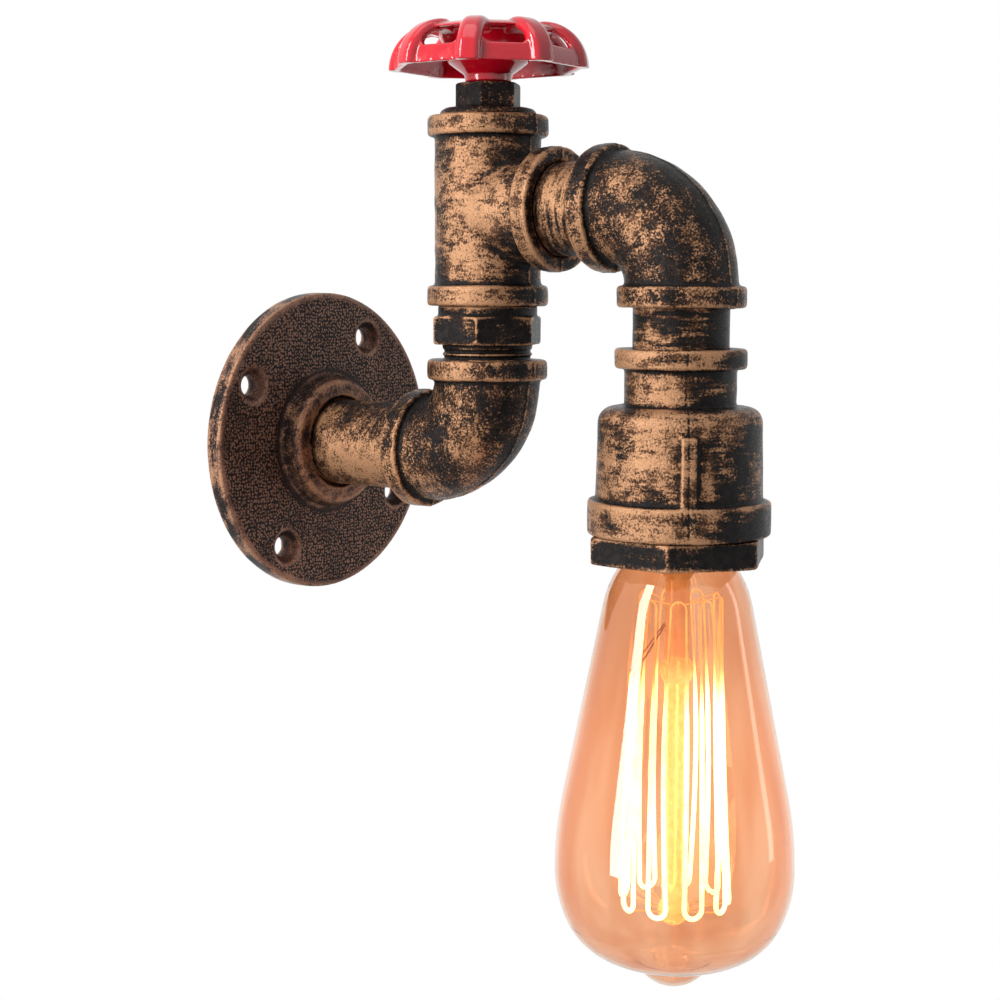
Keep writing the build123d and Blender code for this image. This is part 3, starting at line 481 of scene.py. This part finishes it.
def rubbed(name, cover, side=0.7, turn=(0, 0, 0), stretch=(0.16, 0.16, 1.0), patch=2.0, stroke=1.5, speck=1.6,
           edge=1.0, shift=(0, 0, 0), towards=PAINTED_HIGHLIGHT_SIDE, bronze=BRONZE_LIGHT, deep=BRONZE_DEEP,
           paint=BLACK_PAINT, worn=BLACK_WORN, pebble_mm=0.0):
    """Black paint with bronze rubbed over it, on high spots and in patches, strokes and specks.

    cover is the bronze everywhere, and side the further bronze on faces that look towards a direction or its
    mirror image across X = 0: a painted highlight, more and lighter bronze where the light falls. patch,
    stroke, speck and edge weigh the patterns. turn, stretch and shift lay the strokes.
    """
    finish = Finish(name)
    patches = finish.noise(PATCH_MM, 3.0, 0.6, place=finish.turned(shift=shift))
    strokes = finish.noise(STROKE_MM, 4.0, 0.66, place=finish.turned(turn, stretch, shift))
    specks = finish.noise(SPECK_MM, 3.0, 0.75)
    edges = finish.math("MULTIPLY", finish.attribute("edge"), edge)
    # painted highlight: more bronze, and through the tone lighter bronze, on faces that look towards the
    # given direction
    even = finish.math("MULTIPLY_ADD", finish.facing(towards), side, cover)
    varied = finish.weighted(edges, (patches, patch), (strokes, stroke), (specks, speck))
    amount = finish.math("ADD", varied, even)
    bumps = 0.0
    if pebble_mm:
        bumps = finish.math("MULTIPLY", finish.attribute("pebbled"), finish.pebbles(pebble_mm))
        amount = finish.math("MULTIPLY_ADD", bumps, PEBBLE_BRONZE, amount)
        amount = finish.math("MULTIPLY_ADD", finish.attribute("pebbled"), PEBBLE_GAP_BRONZE, amount)
    rub = finish.ramp(amount, -RUB_STEP, RUB_STEP)
    fine = finish.noise(FINE_MM, 2.0, 0.6)
    lift = finish.math("MULTIPLY", amount, AMOUNT_TONE)
    tone = finish.weighted(lift, (finish.noise(TONE_MM, 3.0), CLOUD_TONE), (fine, FINE_TONE))
    metal = finish.mix(finish.ramp(tone, *TONE_RANGE), deep, bronze)
    painted = finish.mix(finish.ramp(finish.noise(WORN_MM), *WORN_RANGE), paint, worn)
    rough = finish.ramp(rub, 0, 1, PAINT_ROUGH, BRONZE_ROUGH)
    finish.set(Base_Color=finish.mix(rub, painted, metal),
               Metallic=finish.math("MULTIPLY", rub, RUB_METALLIC),
               Roughness=finish.weighted(rough, (fine, FINE_ROUGH)),
               Specular_IOR_Level=SPECULAR)
    height = finish.weighted(0.0, (fine, 0.5), (specks, 1.0))
    height = finish.math("MULTIPLY_ADD", bumps, PEBBLE_RELIEF, height)
    finish.bump(finish.math("ADD", height, finish.math("MULTIPLY", rub, RUB_BUMP)), RELIEF_MM)
    return finish.material


def coat(piece, material):
    piece.data.materials.clear()
    piece.data.materials.append(material)


def dress(piece, material):
    """Coats a piece that takes the place of a node."""
    coat(piece, material)


# ---------------------------------------------------------------- castings and pipes
flange = recast("wall_flange", voxel=0.38, rounding=3, uneven=0.10, relief=flange_relief)
lower_elbow = recast("lower_elbow", voxel=0.42, rounding=5, uneven=0.28, relief=in_plane_seam)
tee = recast("tee", voxel=0.42, rounding=5, uneven=0.28, relief=in_plane_seam)
upper_elbow = recast("upper_elbow", voxel=0.42, rounding=5, uneven=0.28, relief=in_plane_seam)
bell = recast("reducing_socket", voxel=0.42, rounding=4, uneven=0.20, relief=bell_seam)
bushing = recast("hex_bushing", voxel=0.42, rounding=3, uneven=0.16)
riser = recast("riser_hex_nipple", voxel=0.30, rounding=2, uneven=0.08)
bonnet = recast("valve_bonnet", voxel=0.30, rounding=3, uneven=0.16)
wheel = recast("handwheel", voxel=0.33, rounding=7, uneven=0.05)
wall_nipple = recast("wall_nipple", voxel=0.36, rounding=2, uneven=0.10)
branch_nipple = recast("branch_nipple", voxel=0.36, rounding=2, uneven=0.10)
drop_nipple = recast("drop_nipple", voxel=0.36, rounding=2, uneven=0.10)

# In these finishes, and in those of the flange's boss and rim, side sets a painted highlight: more and
# lighter bronze on the faces the light falls on.
iron_finishes = {
    flange: rubbed("flange_finish", cover=0.16, side=0.0, patch=1.0, stroke=0.1, speck=0.45, edge=0.9,
                   bronze=DULL_BRONZE, deep=DULL_DEEP, paint=DULL_PAINT, pebble_mm=1.0),
    lower_elbow: rubbed("lower_elbow_finish", cover=-0.34, side=0.55, stretch=(0.5, 1.0, 0.4),
                        turn=(30, 0, 0), stroke=1.2, speck=2.4, shift=(0.01, 0, 0.02),
                        towards=(0.80, 0.25, -0.50)),
    tee: rubbed("tee_finish", cover=-0.38, side=0.95, stretch=(0.25, 0.25, 1.0), turn=(45, 0, 20), speck=1.8),
    upper_elbow: rubbed("upper_elbow_finish", cover=-0.52, side=0.75, stretch=(0.5, 0.5, 1.0),
                        turn=(40, 0, 0), stroke=1.2, speck=2.5, shift=(0, 0.03, 0.01),
                        towards=(0.80, -0.25, -0.55)),
    bell: rubbed("bell_finish", cover=-0.66, side=1.20, stretch=(0.16, 0.16, 1.0), turn=(8, 6, 0), speck=1.4),
    bushing: rubbed("bushing_finish", cover=-0.95, side=0.2, stretch=(0.2, 0.2, 1.0), speck=2.0, edge=1.4),
    riser: rubbed("riser_finish", cover=-1.20, side=0.70, stretch=(0.2, 0.2, 1.0), edge=1.9),
    bonnet: rubbed("bonnet_finish", cover=-0.75, side=0.1, stretch=(0.6, 0.6, 1.0), stroke=1.0, speck=2.6,
                   edge=0.8),
    wall_nipple: rubbed("wall_pipe_finish", cover=0.10, side=0.5, stretch=(0.6, 1.0, 0.6), stroke=1.2,
                        speck=1.7, towards=(0.75, 0.0, -0.60)),
    branch_nipple: rubbed("branch_pipe_finish", cover=-0.1, side=0.6, stretch=(0.12, 1.0, 0.12), stroke=2.2,
                          speck=1.0),
    drop_nipple: rubbed("drop_pipe_finish", cover=-0.80, side=0.85, stretch=(0.12, 0.12, 1.0),
                        turn=(8, -6, 0), stroke=2.2, speck=1.0),
}
for piece, material in iron_finishes.items():
    dress(piece, material)

# The flange's second finish is on its boss, and the third round its rim.
boss_finish = rubbed("boss_finish", cover=0.05, side=0.2, stretch=(0.3, 1.0, 0.3), stroke=1.2, speck=1.6,
                     towards=(0.6, -0.8, 0.3), bronze=BOSS_BRONZE, deep=DULL_DEEP, paint=DULL_PAINT)
rim_finish = rubbed("rim_finish", cover=-0.25, side=0.25, stretch=(0.2, 1.0, 0.2), patch=2.4, speck=1.6,
                    bronze=RIM_BRONZE, deep=DULL_DEEP)
flange.data.materials.append(boss_finish)
flange.data.materials.append(rim_finish)
set_numbers(flange.data, "pebbled", pebbled_share(points_of(flange.data), normals_of(flange.data)))
for face in flange.data.polygons:
    on_boss = face.center.y < BOSS_FRONT_Y
    on_rim = math.hypot(face.center.x, face.center.z) > FLANGE_RADIUS - RIM_SKIN
    face.material_index = 1 if on_boss else 2 * int(on_rim)


# ---------------------------------------------------------------- enamelled wheel
def enamel():
    """Thick red enamel, with painted shade that darkens it in the hollows of the wheel."""
    finish = Finish("red_enamel")
    drift = finish.noise(14, 2.0)
    # painted shade: darker red towards the hollows, full red on the tops
    on_top = finish.ramp(finish.attribute("edge"), -0.6, 0.3)
    colour = finish.mix(on_top, RED_SHADED_HOLLOW, RED_TOP)
    finish.set(Base_Color=finish.mix(finish.ramp(drift, 0.35, 0.7), colour, RED_CLOUD),
               Roughness=finish.ramp(finish.noise(3.0), 0.3, 0.7, 0.10, 0.20),
               Coat_Weight=0.60, Coat_Roughness=0.03, Specular_IOR_Level=0.30)
    finish.bump(finish.noise(2.4, 2.0), 0.05, 0.6)
    return finish.material


dress(wheel, enamel())


# ---------------------------------------------------------------- plain finishes of small and hidden nodes
def plain(name, colour, second, rough, metallic=0.0, grain_mm=1.2, stretch=(1, 1, 1), depth_mm=0.02, **more):
    """Two close colours in a cloudy mix, with a fine grain in roughness and relief."""
    finish = Finish(name)
    grain = finish.noise(grain_mm, 3.0, place=finish.turned(stretch=stretch))
    cloud = finish.noise(8 * grain_mm, 2.0)
    finish.set(Base_Color=finish.mix(finish.ramp(cloud, 0.35, 0.68), (*colour, 1), (*second, 1)),
               Roughness=finish.weighted(rough, (grain, 0.3)), Metallic=metallic, **more)
    finish.bump(grain, depth_mm)
    return finish.material


plated = plain("plated_steel", (0.56, 0.55, 0.53), (0.44, 0.43, 0.41), rough=0.28, metallic=1.0,
               stretch=(1, 1, 0.2))
rubber = plain("packing", (0.02, 0.02, 0.02), (0.045, 0.042, 0.04), rough=0.6)
porcelain = plain("porcelain", (0.86, 0.84, 0.79), (0.78, 0.75, 0.70), rough=0.18, depth_mm=0.01,
                  Coat_Weight=0.5)
brass = plain("brass", (0.78, 0.56, 0.24), (0.62, 0.42, 0.17), rough=0.26, metallic=1.0,
              stretch=(0.2, 0.2, 1))
solder = plain("solder", (0.62, 0.62, 0.60), (0.46, 0.46, 0.45), rough=0.4, metallic=1.0)
black_glass = plain("black_glass", (0.02, 0.018, 0.024), (0.035, 0.03, 0.035), rough=0.12, Coat_Weight=0.4)
wire = plain("support_wire", HOOK_LIGHT, HOOK_DARK, rough=0.35, metallic=0.8, grain_mm=0.6)
# painted glow: the support hooks shine orange of their own, standing in for the filament's light on them
painted_glow_wire = plain("painted_glow_support_wire", HOOK_LIGHT, HOOK_DARK, rough=0.35, metallic=0.4, grain_mm=0.6,
                 Emission_Color=WIRE_COOL, Emission_Strength=1.1)
brown = plain("brown_insulation", (0.17, 0.075, 0.035), (0.12, 0.05, 0.025), rough=0.5)
blue = plain("blue_insulation", (0.03, 0.11, 0.36), (0.02, 0.08, 0.28), rough=0.5)
small_nodes = {
    plated: ("valve_stem", "wheel_washer", "wheel_nut", "terminal_screws"),
    rubber: ("packing_ring",),
    porcelain: ("lampholder_body",),
    brass: ("lampholder_shell", "lampholder_contact", "live_terminal", "neutral_terminal", "bulb_cap"),
    solder: ("bulb_cap_contact",),
    black_glass: ("bulb_cap_insulator",),
    wire: ("bulb_lead_wires",),
    painted_glow_wire: ("bulb_upper_hooks", "bulb_lower_hooks"),
    brown: ("live_lead",),
    blue: ("neutral_lead",),
}
for material, names in small_nodes.items():
    for name in names:
        coat(nodes[name], material)


# ---------------------------------------------------------------- bulb
def amber_glass():
    """Amber glass, with painted shade deepening it towards its outline, and a faint painted glow standing in
    for the filament's warm light in it.
    """
    finish = Finish("amber_glass")
    height = finish.split(finish.place)["Z"]
    streaks = finish.noise(16, 2.0, place=finish.turned(stretch=(1, 1, 0.15)))
    tint = finish.mix(finish.ramp(streaks, 0.38, 0.66), AMBER_PALE, AMBER_STREAK)
    rise = finish.ramp(height, *GLASS_PAINTED_GLOW_RISES, 0.0, 1.0)
    fade = finish.ramp(height, *GLASS_PAINTED_GLOW_ENDS, 1.0, 0.0)
    # painted shade: the glass deepens in colour towards its outline as the camera sees it
    rim = finish.add("ShaderNodeLayerWeight")
    rim.inputs["Blend"].default_value = 0.35
    tint = finish.mix(finish.ramp(rim.outputs["Facing"], 0.35, 1.0), tint, AMBER_OUTLINE_SHADE)
    # painted glow: the glass shines warm of its own between these heights
    glow = finish.math("MULTIPLY", finish.math("MULTIPLY", rise, fade), AMBER_PAINTED_GLOW_STRENGTH)
    finish.set(Base_Color=tint, Roughness=0.0, IOR=1.45, Transmission_Weight=1.0,
               Emission_Color=AMBER_PAINTED_GLOW, Emission_Strength=glow)
    finish.bump(finish.noise(9, 1.0), 0.02, 0.3)
    return finish.material


def painted_glow_glass():
    """The glass mount: plain above the bead, with a painted glow between the strands below it."""
    finish = Finish("clear_glass")
    # painted glow: the mount shines of its own below the bead, flecked with a painted sparkle
    lit = finish.ramp(finish.split(finish.place)["Z"], *MOUNT_PAINTED_GLOW_ENDS, 1.0, 0.0)
    painted_sparkle = finish.ramp(finish.noise(1.4), 0.35, 0.65, 0.8, 1.2)
    tint = finish.mix(finish.ramp(finish.noise(4), 0.4, 0.6), MOUNT_PALE, MOUNT_DEEP)
    glow = finish.math("MULTIPLY", painted_sparkle, finish.ramp(lit, 0, 1, *MOUNT_STRENGTHS))
    finish.set(Base_Color=tint, Roughness=0.12, IOR=1.5, Transmission_Weight=0.55,
               Emission_Color=MOUNT_PAINTED_GLOW, Emission_Strength=glow)
    finish.bump(finish.noise(1.6), 0.12)
    return finish.material


def glowing():
    """Hot wire: orange and dim at its top loops, near white further down."""
    finish = Finish("filament")
    heat = finish.ramp(finish.split(finish.place)["Z"], *WIRE_GLOW_ENDS, 1.0, 0.0)
    flicker = finish.ramp(finish.noise(5), 0.3, 0.7, 0.85, 1.15)
    glow = finish.math("MULTIPLY", flicker, finish.ramp(heat, 0, 1, *WIRE_STRENGTHS))
    finish.set(Base_Color=WIRE_COLOUR, Roughness=0.5, Emission_Color=finish.mix(heat, WIRE_COOL, WIRE_HOT),
               Emission_Strength=glow)
    return finish.material


def on_circle(radius, angle, height):
    """Point in millimetres, round the axis of the bulb and above its tip."""
    turn = math.radians(angle)
    return Vector((radius * math.cos(turn), radius * math.sin(turn), height))


def strand_point(number, high):
    angle = FILAMENT_MIDDLE + (number - (FILAMENT_STRANDS - 1) / 2) * FILAMENT_STEP
    radius, height = FILAMENT_HIGH if high else FILAMENT_LOW
    return on_circle(radius, angle, height)


def filament_route():
    """Points in millimetres along the filament: up and down the cage, with a half round loop at each turn."""
    ends = (FILAMENT_END_HEIGHT - FILAMENT_LOW[1]) / (FILAMENT_HIGH[1] - FILAMENT_LOW[1])
    route = [strand_point(0, False).lerp(strand_point(0, True), ends)]
    for number in range(FILAMENT_STRANDS - 1):
        at_top = number % 2 == 1
        start, finish = strand_point(number, at_top), strand_point(number + 1, at_top)
        begin = route[-1]
        bow = on_circle(STRAND_BOW + BOW_CHANGE * math.sin(BOW_RHYTHM * number), BOW_TURN * number, 0)
        for step in range(1, STRAND_STEPS):
            share = step / STRAND_STEPS
            route.append(begin.lerp(start, share) + bow * math.sin(math.pi * share))
        route.append(start)
        along = (start - begin).normalized()
        middle, half = (start + finish) / 2, (finish - start) / 2
        for step in range(1, LOOP_STEPS):
            turn = math.pi * step / LOOP_STEPS
            route.append(middle - half * math.cos(turn) + along * half.length * math.sin(turn))
        route.append(finish)
    last = FILAMENT_STRANDS - 1
    route.append(strand_point(last, False).lerp(strand_point(last, True), ends))
    return route


def strand_radius(point):
    """Thin at the loops on top, and thicker down where the wire glows."""
    heat = 1 - max(0.0, min(1.0, (point.z - STRAND_THINS_FROM) / STRAND_THINS_OVER))
    return STRAND_THIN + (STRAND_THICK - STRAND_THIN) * heat


def swept(name, route, radius_at):
    """A closed round tube along a route, without twist."""
    tube = bmesh.new()
    rings = []
    side = Vector((1, 0, 0))
    for number, centre in enumerate(route):
        ahead = route[min(number + 1, len(route) - 1)] - route[max(number - 1, 0)]
        ahead.normalize()
        side = (side - ahead * side.dot(ahead)).normalized()
        other = ahead.cross(side)
        radius = radius_at(centre)
        rings.append([
            tube.verts.new((centre + radius * (side * math.cos(turn) + other * math.sin(turn))) * MM)
            for turn in (2 * math.pi * corner / STRAND_SIDES for corner in range(STRAND_SIDES))])
    for low, high in zip(rings, rings[1:]):
        for corner in range(STRAND_SIDES):
            following = (corner + 1) % STRAND_SIDES
            tube.faces.new((low[corner], low[following], high[following], high[corner]))
    tube.faces.new(list(reversed(rings[0])))
    tube.faces.new(rings[-1])
    for face in tube.faces:
        face.smooth = True
    mesh = bpy.data.meshes.new(name)
    tube.to_mesh(mesh)
    tube.free()
    piece = bpy.data.objects.new(name, mesh)
    scene.collection.objects.link(piece)
    return piece


filament = swept("filament_cage", filament_route(), strand_radius)
filament.data.transform(Matrix.Translation((0, DROP_Y, BULB_TIP_Z)))
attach(filament, "bulb")
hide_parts("bulb_filament")
dress(filament, glowing())
coat(nodes["bulb_glass"], amber_glass())
coat(nodes["bulb_mount"], painted_glow_glass())


# ---------------------------------------------------------------- camera
def place_camera():
    """The photograph's viewpoint: yaw from +Y to +X, pitch above the horizon, roll about the line of sight.

    Gives back the line of sight and the level direction to the right of it.
    """
    yaw, pitch, roll = (math.radians(angle) for angle in (CAMERA_YAW, CAMERA_PITCH, CAMERA_ROLL))
    ahead = Vector((math.sin(yaw) * math.cos(pitch), math.cos(yaw) * math.cos(pitch), math.sin(pitch)))
    level = Vector((math.cos(yaw), -math.sin(yaw), 0))
    upright = level.cross(ahead)
    right = level * math.cos(roll) + upright * math.sin(roll)
    up = -level * math.sin(roll) + upright * math.cos(roll)
    data = bpy.data.cameras.new("photo_camera")
    data.sensor_width = SENSOR_MM
    data.lens = FOCAL_PIXELS / IMAGE_PIXELS * SENSOR_MM
    data.clip_start = 0.01
    data.clip_end = 50
    camera = bpy.data.objects.new("photo_camera", data)
    turned = Matrix((right, up, -ahead)).transposed().to_4x4()
    camera.matrix_world = Matrix.Translation(CAMERA_PLACE) @ turned
    scene.collection.objects.link(camera)
    scene.camera = camera
    return ahead, level


ahead, level = place_camera()
middle = (cad_box[0] + cad_box[1]) / 2


# ---------------------------------------------------------------- studio
def softbox(name, sideways, forward, rise, width, height, power):
    """A soft lamp, placed as seen by the camera and turned to the object."""
    data = bpy.data.lights.new(name, "AREA")
    data.shape = "RECTANGLE"
    data.size = width
    data.size_y = height
    data.energy = power
    lamp = bpy.data.objects.new(name, data)
    direction = level * sideways + Vector((ahead.x, ahead.y, 0)).normalized() * forward + Vector((0, 0, rise))
    direction.normalize()
    lamp.location = middle + direction * LAMP_DISTANCE
    lamp.rotation_euler = direction.to_track_quat("Z", "Y").to_euler()
    scene.collection.objects.link(lamp)


softbox("key", sideways=-0.84, forward=-0.52, rise=0.30, width=0.26, height=1.30, power=15.0)
softbox("rim", sideways=0.95, forward=0.10, rise=0.15, width=0.12, height=0.90, power=0.9)
softbox("top", sideways=-0.10, forward=-0.20, rise=1.00, width=0.60, height=0.60, power=1.6)


def studio_white(tree, seen, lit):
    """One shader for what the camera, gloss and glass see, and another for the light on everything else."""
    path = tree.nodes.new("ShaderNodeLightPath")
    share = path.outputs["Is Camera Ray"]
    for ray in ("Is Glossy Ray", "Is Transmission Ray"):
        largest = tree.nodes.new("ShaderNodeMath")
        largest.operation = "MAXIMUM"
        tree.links.new(share, largest.inputs[0])
        tree.links.new(path.outputs[ray], largest.inputs[1])
        share = largest.outputs[0]
    mix = tree.nodes.new("ShaderNodeMixShader")
    tree.links.new(share, mix.inputs[0])
    tree.links.new(lit.outputs[0], mix.inputs[1])
    tree.links.new(seen.outputs[0], mix.inputs[2])
    return mix


world = bpy.data.worlds.new("studio")
world.use_nodes = True
scene.world = world
sky = world.node_tree
sky.nodes.clear()
bright = sky.nodes.new("ShaderNodeBackground")
bright.inputs["Color"].default_value = WHITE
dim = sky.nodes.new("ShaderNodeBackground")
dim.inputs["Color"].default_value = WHITE
dim.inputs["Strength"].default_value = FILL_STRENGTH
sky_output = sky.nodes.new("ShaderNodeOutputWorld")
sky.links.new(studio_white(sky, bright, dim).outputs[0], sky_output.inputs["Surface"])

floor_corners = [(-FLOOR_HALF, -FLOOR_HALF, FLOOR_Z), (FLOOR_HALF, -FLOOR_HALF, FLOOR_Z),
                 (FLOOR_HALF, FLOOR_HALF, FLOOR_Z), (-FLOOR_HALF, FLOOR_HALF, FLOOR_Z)]
floor_mesh = bpy.data.meshes.new("floor")
floor_mesh.from_pydata(floor_corners, [], [(0, 1, 2, 3)])
floor = bpy.data.objects.new("floor", floor_mesh)
scene.collection.objects.link(floor)
pale = Finish("pale_floor")
pale.set(Base_Color=pale.mix(pale.noise(600), (0.90, 0.90, 0.90, 1), (0.93, 0.93, 0.93, 1)), Roughness=0.9)
glow = pale.add("ShaderNodeEmission")
faded = pale.add("ShaderNodeMixShader")
from_middle = pale.add("ShaderNodeVectorMath", operation="LENGTH")
pale.feed(from_middle.inputs[0], pale.turned(stretch=(1, 1, 0)))
pale.feed(faded.inputs[0], pale.ramp(from_middle.outputs["Value"], SHADOW_FROM, SHADOW_TO, SHADOW_WHITE, 1.0))
pale.feed(faded.inputs[1], pale.surface.outputs[0])
pale.feed(faded.inputs[2], glow.outputs[0])
floor_seen = studio_white(pale.tree, faded, pale.surface)
pale.feed(pale.tree.nodes["Material Output"].inputs["Surface"], floor_seen.outputs[0])
floor.data.materials.append(pale.material)

scene.view_settings.view_transform = "Standard"
